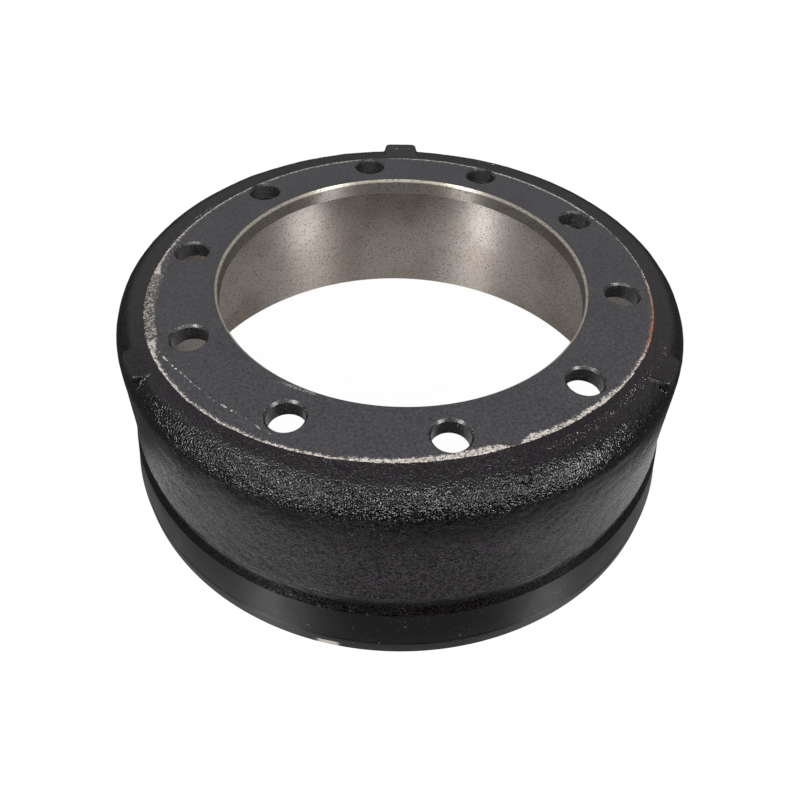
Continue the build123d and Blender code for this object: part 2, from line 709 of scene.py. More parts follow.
    def plate(self, skin: Skin, outer: np.ndarray, inner: np.ndarray, sectors: list[np.ndarray],
              hole: float, finish: Finish) -> list[np.ndarray]:
        """Fills one face of the flange between two rings, round the stud holes.

        Args:
            skin: The mesh to add to.
            outer: Point numbers of the outer ring.
            inner: Point numbers of the inner ring.
            sectors: Column numbers of each sector.
            hole: Radius left open round each stud.
            finish: The face's finish.

        Returns:
            Point numbers round each opening.
        """
        points = np.concatenate(skin.points)
        share = np.linspace(0, 1, self.across + 2)[1:-1, None]
        sides = []
        for columns in sectors:
            first, last = points[outer[columns[0]]], points[inner[columns[0]]]
            sides.append(skin.add(first + share * (last - first)))
        points = np.concatenate(skin.points)
        openings = []
        for number, columns in enumerate(sectors):
            ahead = sides[(number + 1) % len(sides)]
            loop = np.concatenate([outer[columns], ahead, inner[columns][::-1], sides[number][::-1]])
            border = points[loop]
            centre = self.stud_centre(number)
            centre[2] = border[0, 2]
            reach = border - centre
            rim = centre + hole * reach / np.linalg.norm(reach, axis=1, keepdims=True)
            middle = skin.add((border + rim) / 2)
            opening = skin.add(rim)
            skin.strip((loop, middle, opening), finish)
            openings.append(opening)
        return openings

    def hole(self, skin: Skin, number: int, front: np.ndarray, back: np.ndarray) -> None:
        """Bores one stud hole from the front opening to the back one.

        Args:
            skin: The mesh to add to.
            number: The hole's number.
            front: Point numbers round the front opening.
            back: Point numbers round the back opening.
        """
        centre = self.stud_centre(number)
        flat = (np.concatenate(skin.points)[front] - centre) * (1, 1, 0)
        wall = flat * (self.sizes.stud / (self.sizes.stud + self.stud_chamfer))
        top, bottom = -self.stud_chamfer, -self.sizes.flange_back + self.back_chamfer
        rings = [skin.add(centre + wall + (0, 0, depth)) for depth in np.linspace(top, bottom, 3)]
        skin.strip((front, *rings, back), Finish.HOLE_PAINT)
        skin.crease(front, rings[0], rings[-1], back)

    def build(self) -> bpy.types.Object:
        """Builds the whole casting.

        Returns:
            The object, without materials.
        """
        skin, degrees, sizes = Skin(), self.columns(), self.sizes
        rows = [skin.add(row) for row in self.roughened(self.cast_rows(degrees))]
        skin.strip(rows, Finish.CAST_PAINT)
        skin.crease(rows[0], rows[-1])
        last = rows[-1]
        for points, finish in self.barrel.turned(sizes.friction):
            rings = self.rings(skin, degrees, points)
            skin.strip((last, *rings), finish)
            last = rings[-1]
            skin.crease(last)
        root = self.rings(skin, degrees, self.barrel.root_round(sizes.friction, sizes.flange_back))
        skin.strip((last, *root), Finish.TURNED_PAINT)
        bore = (
            (sizes.bore + self.bore_chamfer, 0.0),
            (sizes.bore, -self.bore_chamfer),
            (sizes.bore, -sizes.flange_back / 2),
            (sizes.bore, -sizes.flange_back + self.back_chamfer),
            (sizes.bore + self.back_chamfer, -sizes.flange_back),
        )
        land = self.rings(skin, degrees, bore)
        skin.strip(land, Finish.BARE_IRON)
        skin.crease(land[0], land[1], land[3], land[4])
        sectors = self.sectors(degrees)
        opening = sizes.stud + self.stud_chamfer
        front = self.plate(skin, rows[0], land[0], sectors, opening, Finish.CAST_PAINT)
        opening = sizes.stud + self.back_chamfer
        back = self.plate(skin, root[-1], land[4], sectors, opening, Finish.TURNED_PAINT)
        for number, (above, below) in enumerate(zip(front, back)):
            self.hole(skin, number, above, below)
        return skin.build("drum_casting", sizes.height)


class Blend(Enum):
    """How two colours are joined."""

    MIX = "MIX"
    MULTIPLY = "MULTIPLY"


@dataclass(frozen=True)
class Pattern:
    """One pattern of fractal noise.

    Attributes:
        length: Size of its coarsest features in mm.
        detail: Number of finer octaves.
        roughness: Their weight.
    """

    length: float
    detail: float = 2.0
    roughness: float = 0.5


class Graph:
    """A material's or world's node tree."""

    def __init__(self, tree: bpy.types.NodeTree) -> None:
        """Starts from an emptied tree."""
        self.tree = tree
        tree.nodes.clear()

    @classmethod
    def of_material(cls, name: str) -> tuple[bpy.types.Material, "Graph"]:
        """Makes a material.

        Args:
            name: Its name.

        Returns:
            The material and its empty tree.
        """
        material = bpy.data.materials.new(name)
        material.use_nodes = True
        return material, cls(material.node_tree)

    def node(self, kind: str, settings: Mapping[str, Any] | None = None,
             inputs: Mapping[str | int, Any] | None = None, output: str | int = 0) -> "Value":
        """Adds a node.

        Args:
            kind: The node's type.
            settings: Its settings, set first. "stops" are a ramp's places and values.
            inputs: Values or links by the socket's name or number.
            output: The output to return.

        Returns:
            The wrapped output.
        """
        node = self.tree.nodes.new(kind)
        for name, setting in (settings or {}).items():
            if name == "stops":
                self.set_stops(node.color_ramp, setting)
            else:
                setattr(node, name, setting)
        for name, value in (inputs or {}).items():
            socket = node.inputs[name]
            if isinstance(value, Value):
                self.tree.links.new(value.socket, socket)
            else:
                socket.default_value = value
        return Value(self, node.outputs[output] if len(node.outputs) else None)

    @staticmethod
    def set_stops(ramp: bpy.types.ColorRamp, stops: Sequence[tuple[float, float]]) -> None:
        """Sets a ramp's stops.

        Args:
            ramp: The ramp.
            stops: Places, 0 to 1, with a grey value each.
        """
        while len(ramp.elements) < len(stops):
            ramp.elements.new(1.0)
        for element, (place, _) in zip(ramp.elements, stops):
            element.position = place
        for element, (_, value) in zip(ramp.elements, stops):
            element.color = grey(value)

    def noise(self, vector: "Value", pattern: Pattern) -> "Value":
        """Adds fractal noise read at a vector in mm, with values around 0.5."""
        scale = {"Scale": 1 / pattern.length, "Detail": pattern.detail, "Roughness": pattern.roughness}
        return self.node("ShaderNodeTexNoise", {"noise_dimensions": "3D"}, {"Vector": vector, **scale})

    def parts(self, vector: "Value") -> tuple["Value", "Value", "Value"]:
        """Splits a vector into its three numbers."""
        first = self.node("ShaderNodeSeparateXYZ", None, {0: vector})
        return tuple(Value(self, socket) for socket in first.socket.node.outputs)

    def cells(self, vector: "Value", length: float) -> tuple["Value", "Value"]:
        """Adds cellular noise.

        Args:
            vector: Where to read it, in mm.
            length: Size of a cell in mm.

        Returns:
            The distance from the cell's point in cells, and the cell's random number.
        """
        inputs = {"Vector": vector, "Scale": 1 / length}
        distance = self.node("ShaderNodeTexVoronoi", {"feature": "F1"}, inputs)
        colour = Value(self, distance.socket.node.outputs["Color"])
        return distance, self.parts(colour)[0]

    def smooth(self, value: "Value", low: float, high: float) -> "Value":
        """Maps a value smoothly from 0 at low to 1 at high."""
        inputs = {"Value": value, "From Min": low, "From Max": high, "To Min": 0.0, "To Max": 1.0}
        return self.node("ShaderNodeMapRange", {"interpolation_type": "SMOOTHSTEP"}, inputs)

    def mix(self, factor: "Value | float", first: "Value | Colour", second: "Value | Colour",
            blend: Blend = Blend.MIX) -> "Value":
        """Mixes two colours, with the factor as the share of the second."""
        settings = {"data_type": "RGBA", "blend_type": blend.value, "clamp_factor": True}
        return self.node("ShaderNodeMix", settings, {0: factor, 6: first, 7: second}, 2)

    def toned(self, colour: "Value | Colour", tone: "Value") -> "Value":
        """Makes a colour as many times brighter as the tone says."""
        vector = self.node("ShaderNodeCombineXYZ", None, {0: tone, 1: tone, 2: tone})
        return self.mix(1.0, colour, vector, Blend.MULTIPLY)


class Value:
    """A number that varies over a surface: an output socket with Python's operators."""

    def __init__(self, graph: Graph, socket: bpy.types.NodeSocket | None) -> None:
        """Wraps an output socket of a tree."""
        self.graph = graph
        self.socket = socket

    def math(self, operation: str, *operands: "Value | float") -> "Value":
        """Adds a Math node on all the operands, in order."""
        return self.graph.node("ShaderNodeMath", {"operation": operation}, dict(enumerate(operands)))

    def __add__(self, other: "Value | float") -> "Value":
        """Adds."""
        return self.math("ADD", self, other)

    def __sub__(self, other: "Value | float") -> "Value":
        """Subtracts."""
        return self.math("SUBTRACT", self, other)

    def __rsub__(self, other: float) -> "Value":
        """Subtracts from a number."""
        return self.math("SUBTRACT", other, self)

    def __mul__(self, other: "Value | float") -> "Value":
        """Multiplies."""
        return self.math("MULTIPLY", self, other)

    __radd__ = __add__
    __rmul__ = __mul__

    def __truediv__(self, other: "Value | float") -> "Value":
        """Divides."""
        return self.math("DIVIDE", self, other)

    def __abs__(self) -> "Value":
        """Drops the sign."""
        return self.math("ABSOLUTE", self)

    def __pow__(self, other: float) -> "Value":
        """Raises to a power."""
        return self.math("POWER", self, other)

    def fraction(self) -> "Value":
        """Keeps the part after the point."""
        return self.math("FRACT", self)

    def lowest(self, other: "Value | float") -> "Value":
        """Takes the lower of two."""
        return self.math("MINIMUM", self, other)

    def highest(self, other: "Value | float") -> "Value":
        """Takes the higher of two."""
        return self.math("MAXIMUM", self, other)

    def towards(self, other: "Value | float", share: "Value") -> "Value":
        """Goes a share of the way from this value to another."""
        return self + share * (other - self)


class Place:
    """Where a point lies on the drum, in mm, for a material.

    Attributes:
        graph: The material's tree.
        point: The point.
        radius: Its distance from the axis.
        cosine: Cosine of its azimuth.
        sine: Sine of its azimuth.
        turn: Its azimuth as a share of a full turn.
        depth: Its height over the machined face, so negative below it.
    """

    def __init__(self, graph: Graph, height: float) -> None:
        """Reads the object's coordinates.

        Args:
            graph: The material's tree.
            height: Height of the machined face in mm.
        """
        self.graph = graph
        metres = graph.node("ShaderNodeTexCoord", None, None, "Object")
        scaled = {0: metres, "Scale": MM_PER_METRE}
        self.point = graph.node("ShaderNodeVectorMath", {"operation": "SCALE"}, scaled)
        x, y, z = graph.parts(self.point)
        self.radius = (x * x + y * y) ** 0.5
        self.cosine = x / self.radius
        self.sine = y / self.radius
        self.turn = (y.math("ARCTAN2", y, x) / math.tau + 1.0).fraction()
        self.depth = z - height

    def grooves(self, along: Value, stretch: float) -> Value:
        """Gives a vector for tool marks: it follows a distance and hardly moves round the drum."""
        inputs = {0: self.cosine * stretch, 1: self.sine * stretch, 2: along}
        return self.graph.node("ShaderNodeCombineXYZ", None, inputs)

    def rippled(self, share: float) -> Value:
        """Gives the point with its height drawn out, so that noise there lies in flat ripples."""
        drawn = {0: self.point, 1: (1.0, 1.0, share)}
        return self.graph.node("ShaderNodeVectorMath", {"operation": "MULTIPLY"}, drawn)

    def sweep(self, stops: Sweep) -> Value:
        """Gives a value by azimuth.

        Args:
            stops: Azimuths in degrees, rising, with values.

        Returns:
            The value, in a straight line from stop to stop.
        """
        highest = max(value for _, value in stops)
        scaled = [(degrees / FULL_TURN, value / highest) for degrees, value in stops]
        return self.graph.node("ShaderNodeValToRGB", {"stops": scaled}, {0: self.turn}) * highest


class Look(NamedTuple):
    """What changes over a finish.

    Attributes:
        colour: Base colour.
        roughness: Roughness.
        relief: Height of the surface in mm.
    """

    colour: Value
    roughness: Value
    relief: Value


@dataclass(frozen=True)
class Surface:
    """What a Principled shader takes as one number for the whole finish.

    Attributes:
        metallic: Share of bare metal.
        index: Refractive index of the coat.
        anisotropy: How much finer the finish is along its grooves.
        rotation: Turn of the grooves from the drum's own direction.
    """

    metallic: float = 0.0
    index: float = 1.5
    anisotropy: float = 0.0
    rotation: float = 0.0

    def close(self, graph: Graph, look: Look) -> None:
        """Ends a material's tree with its shader.

        Args:
            graph: The material's tree.
            look: What changes over the finish.
        """
        relief = {"Strength": 1.0, "Distance": 1 / MM_PER_METRE, "Height": look.relief}
        inputs = {
            "Base Color": look.colour,
            "Roughness": look.roughness,
            "Normal": graph.node("ShaderNodeBump", None, relief),
            "Metallic": self.metallic,
            "IOR": self.index,
            "Anisotropic": self.anisotropy,
            "Anisotropic Rotation": self.rotation,
        }
        shader = graph.node("ShaderNodeBsdfPrincipled", None, inputs)
        graph.node("ShaderNodeOutputMaterial", None, {0: shader})


@dataclass(frozen=True)
class Coating:
    """What the drum's finishes share. Their depths are in mm and negative below the machined face.

    Attributes:
        height: Height of the machined face in mm.
        title: The material's name.
        surface: The shader's fixed numbers.
    """

    height: float
    title: str
    surface: Surface

    def look(self, graph: Graph, place: Place) -> Look:
        """Works out what changes over the finish; each finish has its own."""
        raise NotImplementedError

    def material(self) -> bpy.types.Material:
        """Makes the material.

        Returns:
            The material.
        """
        material, graph = Graph.of_material(self.title)
        self.surface.close(graph, self.look(graph, Place(graph, self.height)))
        return material


@dataclass(frozen=True)
class Scratch:
    """A broken scratch or a scatter of flecks along a path on the casting.

    Attributes:
        path: Azimuths in degrees, rising, with the radius in mm.
        half_width: Half its width in mm.
        share: Share of it that is through the paint, about 0 to 1.
        size: Size of the breaks in mm.
        taper: Length of either end in degrees, over which it fades.
        core: How far inside its side, in half widths, it is at full strength.
        torn: Noise levels between which the paint goes.
    """

    path: Sweep
    half_width: float
    share: float
    size: float = 1.6
    taper: float = 1.0
    core: float = 0.3
    torn: Band = (0.5, 0.55)

    def mask(self, graph: Graph, place: Place) -> Value:
        """Gives 1 where the paint is gone.

        Args:
            graph: The material's tree.
            place: The point's place.

        Returns:
            The mask.
        """
        begin, end = self.path[0][0], self.path[-1][0]
        whole = ((begin + self.taper, 1.0), (end - self.taper, 1.0))
        ends = ((0.0, 0.0), (begin, 0.0), *whole, (end, 0.0), (FULL_TURN, 0.0))
        inside = 1.0 - abs(place.radius - place.sweep(self.path)) / self.half_width
        breaks = graph.noise(place.point, Pattern(self.size, 2.0, 0.7))
        level = breaks + (inside.lowest(self.core) - self.core) * 0.5 + (self.share - 0.5) * 0.4
        return graph.smooth(level, *self.torn) * place.sweep(ends)


@dataclass(frozen=True)
class CastPaint(Coating):
    """Satin paint over the turned face and the cast skin, chipped along the face's edge.

    Attributes:
        edge: Outer edge of the machined face.
        face: Colour on the turned face.
        skin: Colour on the cast skin, kept darker on the shoulder's round below the rim as painted shade.
        side: Lighter copy of the skin's colour on the barrel's wall and the smooth rim beside the face's
            edge, as painted light.
        chip: Colour of the bare edge.
        dull: Colour of its duller grains.
        rust: Colour of rust.
        wear: Half width in mm of the chipped edge by azimuth in degrees.
        scratches: Scratches and flecks elsewhere.
        rusted: Share of rust in the chipped edge by azimuth in degrees.
        coarse: Strength of the cast grain by azimuth in degrees.
        torn: Share of fine cracks in the cast shoulder by azimuth in degrees.
        wander: How the face's edge wanders.
        blotch: Broad patches of paint.
        mottle: Small patches of paint.
        speckle: Grains of the cast skin.
        wrinkle: Wrinkles of the cast skin.
        crinkle: Crinkles of the barrel's wall.
        ragged: Ragged outline of the chips.
        grain: Finest grain of the bare metal.
        island: Islands of paint left in the chips.
        crack: Lines that the cracks follow.
        tool: Tool marks on the face.
        rim: Depths between which the smooth skin beside the face's edge begins.
        wall_top: Depths between which the barrel's wall begins, and with it the side colour's painted light.
        wall_foot: Depths between which it ends.
        grain_foot: Depths between which the cast grain fades.
        ledge: Depths between which the ledge under the crease begins.
        cracked_from: Distances from the face's edge between which the cracks begin.
    """

    title: str = "chipped_satin_paint"
    surface: Surface = Surface(index=1.4)
    edge: FaceEdge = FaceEdge()
    face: Colour = srgb(53, 52, 55)
    skin: Colour = srgb(9, 7, 8)
    side: Colour = srgb(24, 21, 24)
    chip: Colour = srgb(205, 198, 190)
    dull: Colour = srgb(132, 127, 120)
    rust: Colour = srgb(150, 84, 50)
    wear: Sweep = (
        (0, 0.4), (20, 0.3), (30, 0.9), (70, 0.9), (90, 0.6), (94, 0.1), (100, 0.1), (104, 0.7),
        (150, 0.7), (178, 1.0), (183, 3.6), (204, 3.8), (210, 1.2), (222, 0.7), (250, 0.8), (257, 0.6),
        (262, 1.5), (278, 1.9), (284, 2.8), (288, 2.4), (290, 0.1), (293, 0.1), (295, 2.8), (300, 1.5),
        (314, 1.7), (320, 0.9), (345, 0.8), (360, 0.5),
    )
    scratches: tuple[Scratch, ...] = (
        Scratch(
            ((205, 192), (209, 190), (217.6, 185), (225.6, 183), (236, 181.4), (244, 184.5)),
            half_width=0.8, share=0.42, size=2.6,
        ),
        Scratch(((236, 145.5), (240, 144), (247, 143.2)), half_width=1.4, share=0.5),
        Scratch(((150, 186), (183, 184), (205, 190)), half_width=4.5, share=0.24, size=1.2),
        Scratch(((296, 194), (320, 196), (338, 200)), half_width=4.0, share=0.17, size=1.0),
        Scratch(((62, 199), (84, 203), (122, 201)), half_width=1.2, share=0.3, size=2.4),
    )
    rusted: Sweep = (
        (0, 0.2), (10, 0.0), (176, 0.1), (184, 0.2), (204, 0.15), (210, 0.1), (325, 0.0), (337, 0.75),
        (346, 0.75), (360, 0.2),
    )
    coarse: Sweep = ((0, 0.45), (208, 0.45), (232, 1.0), (286, 1.0), (304, 0.5), (360, 0.45))
    torn: Sweep = ((0, 0.0), (254, 0.0), (258, 1.0), (268, 1.0), (272, 0.0), (360, 0.0))
    wander: Pattern = Pattern(9.0)
    blotch: Pattern = Pattern(38.0, 3.0, 0.55)
    mottle: Pattern = Pattern(1.9, 1.0, 0.6)
    speckle: Pattern = Pattern(1.1, 0.0)
    wrinkle: Pattern = Pattern(4.2, 1.0)
    crinkle: Pattern = Pattern(3.4, 1.0, 0.6)
    ragged: Pattern = Pattern(2.2, 3.0, 0.65)
    grain: Pattern = Pattern(0.55, 2.0, 0.6)
    island: Pattern = Pattern(1.6, 2.0, 0.7)
    crack: Pattern = Pattern(8.0, 2.0, 0.7)
    tool: Pattern = Pattern(0.8, 2.0, 0.7)
    rim: Band = (-4.8, -2.4)
    wall_top: Band = (-22.0, -54.0)
    wall_foot: Band = (-106.0, -100.0)
    grain_foot: Band = (-15.0, -25.0)
    ledge: Band = (-102.0, -108.0)
    cracked_from: Band = (7.0, 9.0)

    def look(self, graph: Graph, place: Place) -> Look:
        """Works out what changes over the paint.

        Args:
            graph: The material's tree.
            place: The point's place.

        Returns:
            The look.
        """
        zones = CastZones(self, graph, place)
        chipped = self.chipped(zones)
        bare = graph.mix(zones.grain, self.chip, self.dull)
        rusted = graph.smooth(zones.ragged + place.sweep(self.rusted) * 0.35, 0.62, 0.78)
        colour = graph.mix(chipped, self.painted(zones), graph.mix(rusted, bare, self.rust))
        roughness = 0.18 + zones.on_face * 0.28 + zones.quiet * 0.14 + (zones.speckle - 0.5) * 0.2
        return Look(colour, roughness + chipped * 0.2 + zones.wall * 0.05, self.relief(zones, chipped))

    def chipped(self, zones: "CastZones") -> Value:
        """Finds where the paint is off.

        Args:
            zones: The patterns and zones.

        Returns:
            1 on bare metal, 0 on paint.
        """
        graph, offset = zones.graph, zones.offset
        half = zones.place.sweep(self.wear)
        margin = (half * 1.7 + offset).lowest(1.3 - graph.smooth(half, 2.9, 3.4) * 1.2)
        uneven = ((zones.ragged - 0.5) * 7.0 + (zones.grain - 0.5) * 5.0) * graph.smooth(half, 0.0, 0.6)
        chipped = graph.smooth(margin + uneven, 0.3, 0.7)
        outside = offset + (zones.grain - 0.5) * 1.5 - half * 0.15
        chipped = chipped * (1 - graph.smooth(outside, 0.2, 0.6))
        for scratch in self.scratches:
            chipped = chipped.highest(scratch.mask(graph, zones.place))
        kept = graph.smooth(graph.noise(zones.place.point, self.island), 0.55, 0.6)
        return chipped * (1.0 - kept * 0.9)

    def painted(self, zones: "CastZones") -> Value:
        """Colours the paint.

        Args:
            zones: The patterns and zones.

        Returns:
            The paint's colour on the face, the skin and the wall.
        """
        graph, mottle = zones.graph, zones.mottle
        tone = (zones.speckle * 7.0 + zones.blotch * 0.5 - 2.8).highest(0.05)
        tone = tone.towards((zones.crinkle * 2.5 + mottle * 1.9 - 1.4).highest(0.05), zones.wall)
        tone = tone.towards(mottle * 1.5 + zones.ragged - 0.3, zones.quiet)
        tone = tone.towards(zones.blotch * 0.35 + mottle * 1.7 + zones.tool * 0.3 - 0.2, zones.on_face)
        # Painted light and shade: the wall and the smooth rim take the lighter side colour, the shoulder's
        # round between them the darker skin colour.
        cast = graph.mix(zones.wall.highest(zones.quiet * 0.8), self.skin, self.side)
        return graph.toned(graph.mix(zones.on_face, cast, self.face), tone)

    def relief(self, zones: "CastZones", chipped: Value) -> Value:
        """Raises the cast grain and lowers the chips.

        Args:
            zones: The patterns and zones.
            chipped: Where the paint is off.

        Returns:
            The height in mm.
        """
        graph, place = zones.graph, zones.place
        strength = 1.0 - graph.smooth(place.depth, *self.grain_foot) * 0.82
        strength = strength * (1.0 - graph.smooth(place.depth, *self.ledge) * 0.6)
        strength = strength * place.sweep(self.coarse) * (1.0 - zones.quiet * 0.4)
        wrinkle = graph.noise(place.point, self.wrinkle)
        cast = ((zones.speckle - 0.5) * 0.95 + (wrinkle - 0.5) * 0.8) * strength
        cast = cast + (zones.crinkle - 0.5) * zones.wall * 0.1
        crack = abs(graph.noise(place.rippled(share=0.5), self.crack) - 0.5)
        cracked = (1 - graph.smooth(crack, 0.004, 0.02)) * place.sweep(self.torn)
        cracked = cracked * graph.smooth(zones.offset, *self.cracked_from)
        cast = cast - cracked * (1.0 - zones.wall) * 0.5
        turned = (zones.tool - 0.5) * 0.012 + (zones.grain - 0.5) * 0.012
        return cast.towards(turned, zones.on_face) - chipped * 0.12


class CastZones:
    """Patterns and zones that the cast paint's colour, roughness and relief share.

    Attributes:
        graph: The material's tree.
        place: The point's place.
        offset: Distance outside the machined face's edge in mm.
        on_face: 1 on the machined face.
        quiet: 1 on the smooth skin beside the face's edge.
        wall: 1 on the barrel's wall.
        blotch, mottle, speckle, ragged, grain, tool, crinkle: The patterns that the paint names so.
    """

    def __init__(self, paint: CastPaint, graph: Graph, place: Place) -> None:
        """Works them out.

        Args:
            paint: The paint, which holds their sizes.
            graph: The material's tree.
            place: The point's place.
        """
        self.graph, self.place = graph, place
        point = place.point
        edge = paint.edge.shaded(place.cosine, place.sine)
        self.offset = place.radius - edge + (graph.noise(point, paint.wander) - 0.5) * 1.5
        self.on_face = 1 - graph.smooth(self.offset, -0.3, 0.5)
        self.blotch = graph.noise(point, paint.blotch)
        self.mottle = graph.noise(point, paint.mottle)
        self.speckle = graph.noise(point, paint.speckle)
        self.ragged = graph.noise(point, paint.ragged)
        self.grain = graph.noise(point, paint.grain)
        self.tool = graph.noise(place.grooves(place.radius, stretch=5.0), paint.tool)
        crinkle = graph.noise(place.rippled(share=1.5), paint.crinkle)
        self.crinkle = graph.smooth(abs(crinkle - 0.5), 0.0, 0.12)
        self.wall = graph.smooth(place.depth, *paint.wall_top) * graph.smooth(place.depth, *paint.wall_foot)
        self.quiet = (1 - self.on_face) * graph.smooth(place.depth, *paint.rim)


@dataclass(frozen=True)
class TurnedPaint(Coating):
    """Thin satin paint over turned iron: the band, the lip and the flange's back.

    Attributes:
        base: Mean colour.
        worn: Colour where the paint is through.
        nick: Share of a chip in the lip by azimuth in degrees.
        lip: Depths between which the lip begins.
        blotch: Broad patches of paint.
        speck: Small bare specks.
        tool: Tool marks.
    """

    title: str = "thin_paint_on_turned_iron"
    surface: Surface = Surface(index=1.39, anisotropy=0.95, rotation=0.25)
    base: Colour = srgb(3, 3, 3)
    worn: Colour = srgb(150, 144, 137)
    nick: Sweep = ((0, 0.0), (254.5, 0.0), (256, 1.0), (259, 1.0), (260, 0.0), (360, 0.0))
    lip: Band = (-152.0, -154.5)
    blotch: Pattern = Pattern(24.0, 3.0, 0.6)
    speck: Pattern = Pattern(1.4, 2.0, 0.6)
    tool: Pattern = Pattern(0.7, 3.0, 0.7)

    def look(self, graph: Graph, place: Place) -> Look:
        """Works out what changes over the paint.

        Args:
            graph: The material's tree.
            place: The point's place.

        Returns:
            The look.
        """
        tools = graph.noise(place.grooves(place.depth, stretch=6.0), self.tool)
        blotch = graph.noise(place.point, self.blotch)
        specks = graph.noise(place.point, self.speck)
        nick = place.sweep(self.nick) * graph.smooth(place.depth, *self.lip)
        worn = graph.smooth(specks + (blotch - 0.5) * 0.3, 0.68, 0.8) * 0.5
        worn = worn.highest(graph.smooth(specks + nick * 0.3, 0.58, 0.68) * nick)
        paint = graph.toned(self.base, 0.62 + blotch * 0.4 + tools * 0.4)
        roughness = 0.37 + (tools - 0.5) * 0.15 + (blotch - 0.5) * 0.15
        relief = (tools - 0.5) * 0.03 + (specks - 0.5) * 0.03
        return Look(graph.mix(worn, paint, self.worn), roughness, relief)


@dataclass(frozen=True)
class BareIron(Coating):
    """Turned grey iron without paint: the friction surface, the spigot bore and its chamfer.

    Attributes:
        iron: Colour of unstained iron.
        chamfer_highlight: Lighter colour of the bore's chamfer, a painted highlight along it.
        stain: Colour of the brown stain.
        pit: Colour in the pits.
        pit_size: Mean distance between pits in mm.
        land: Depths between which the bore's land ends; above them the land is darkened as painted shade.
        chamfer: Depths between which the bore's bright chamfer begins.
        blotch: Broad stains.
        graphite: Fine dark structure of the iron.
        tool: Tool marks.
    """

    title: str = "bare_turned_iron"
    surface: Surface = Surface(metallic=0.78, anisotropy=1.0, rotation=0.25)
    iron: Colour = srgb(160, 153, 147)
    chamfer_highlight: Colour = srgb(194, 186, 172)
    stain: Colour = srgb(130, 114, 104)
    pit: Colour = srgb(30, 24, 21)
    pit_size: float = 1.7
    land: Band = (-13.5, -12.0)
    chamfer: Band = (-2.8, -1.6)
    blotch: Pattern = Pattern(75.0)
    graphite: Pattern = Pattern(1.2, 3.0, 0.7)
    tool: Pattern = Pattern(0.8, 3.0, 0.7)

    def look(self, graph: Graph, place: Place) -> Look:
        """Works out what changes over the iron.

        Args:
            graph: The material's tree.
            place: The point's place.

        Returns:
            The look.
        """
        tools = graph.noise(place.grooves(place.depth, stretch=6.0), self.tool)
        graphite = graph.noise(place.point, self.graphite)
        blotch = graph.noise(place.point, self.blotch)
        stained = graph.smooth(blotch + (graphite - 0.5) * 0.3, 0.4, 0.62)
        distance, chance = graph.cells(place.point, self.pit_size)
        pitted = (1 - graph.smooth(distance, 0.16, 0.4)) * graph.smooth(chance, 0.2, 0.55)
        pitted = pitted.highest(graph.smooth(graphite, 0.6, 0.68) * 0.6)
        iron = graph.mix(stained * 0.4, self.iron, self.stain)
        iron = graph.toned(iron, 0.74 + tools * 0.22 + graphite * 0.3)
        # Painted shade: the bore's land is darkened for the shade it lies in.
        iron = graph.toned(iron, 1.0 - graph.smooth(place.depth, *self.land) * 0.58)
        # Painted highlight: the bore's chamfer takes a lighter colour for the highlight it catches.
        iron = graph.mix(graph.smooth(place.depth, *self.chamfer), iron, self.chamfer_highlight)
        roughness = 0.43 + (graphite - 0.5) * 0.1 + stained * 0.06 + pitted * 0.2
        relief = (tools - 0.5) * 0.02 + (graphite - 0.5) * 0.01 - pitted * 0.05
        return Look(graph.mix(pitted, iron, self.pit), roughness, relief)


@dataclass(frozen=True)
class HolePaint(Coating):
    """Thick dark paint in the stud holes and on their chamfers.

    Attributes:
        base: Colour.
        worn: Colour of worn edges.
        top: Depths between which the holes' upper edges begin.
        run: Runs in the paint.
        speck: Small bare specks.
    """

    title: str = "dark_paint_in_holes"
    surface: Surface = Surface()
    base: Colour = srgb(24, 23, 24)
    worn: Colour = srgb(120, 112, 106)
    top: Band = (-2.0, -0.2)
    run: Pattern = Pattern(3.0, 3.0, 0.6)
    speck: Pattern = Pattern(1.1, 2.0, 0.6)

    def look(self, graph: Graph, place: Place) -> Look:
        """Works out what changes over the paint.

        Args:
            graph: The material's tree.
            place: The point's place.

        Returns:
            The look.
        """
        runs = graph.noise(place.point, self.run)
        specks = graph.noise(place.point, self.speck)
        worn = graph.smooth(specks + graph.smooth(place.depth, *self.top) * 0.06, 0.64, 0.72)
        colour = graph.mix(worn, graph.toned(self.base, 0.6 + runs * 0.8), self.worn)
        roughness = 0.3 + (runs - 0.5) * 0.25
        return Look(colour, roughness, (runs - 0.5) * 0.12 + (specks - 0.5) * 0.05)


@dataclass(frozen=True)
class Drum:
    """The drum's piece and its finishes.

    Attributes:
        sizes: The mounting sizes.
    """

    sizes: Sizes

    def build(self) -> bpy.types.Object:
        """Builds and dresses the casting, and puts it in the frame.

        Returns:
            The piece.
        """
        piece = Casting(self.sizes).build()
        coatings = {
            Finish.CAST_PAINT: CastPaint,
            Finish.TURNED_PAINT: TurnedPaint,
            Finish.BARE_IRON: BareIron,
            Finish.HOLE_PAINT: HolePaint,
        }
        for finish in Finish:
            piece.data.materials.append(coatings[finish](self.sizes.height).material())
        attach(piece, "root")
        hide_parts(NODE)
        return piece


@dataclass(frozen=True)
class SoftBox:
    """One soft rectangular lamp aimed at the drum.

    Attributes:
        name: Its name.
        azimuth: Direction from the drum in degrees.
        elevation: Height above the horizon in degrees.
        width: Width in metres.
        height: Height in metres.
        power: Power in watts.
        distance: Distance in metres.
        target: The point it is aimed at.
    """

    name: str
    azimuth: float
    elevation: float
    width: float
    height: float
    power: float
    distance: float = 1.6
    target: tuple[float, float, float] = (0.0, 0.0, 0.08)

    def build(self) -> bpy.types.Object:
        """Places the lamp.

        Returns:
            The lamp.
        """
        data = bpy.data.lights.new(self.name, "AREA")
        data.shape = "RECTANGLE"
        data.size, data.size_y, data.energy = self.width, self.height, self.power
        lamp = linked(self.name, data)
        turn, rise = math.radians(self.azimuth), math.radians(self.elevation)
        away = Vector((math.cos(turn) * math.cos(rise), math.sin(turn) * math.cos(rise), math.sin(rise)))
        lamp.location = Vector(self.target) + away * self.distance
        lamp.rotation_euler = away.to_track_quat("Z", "Y").to_euler()
        return lamp


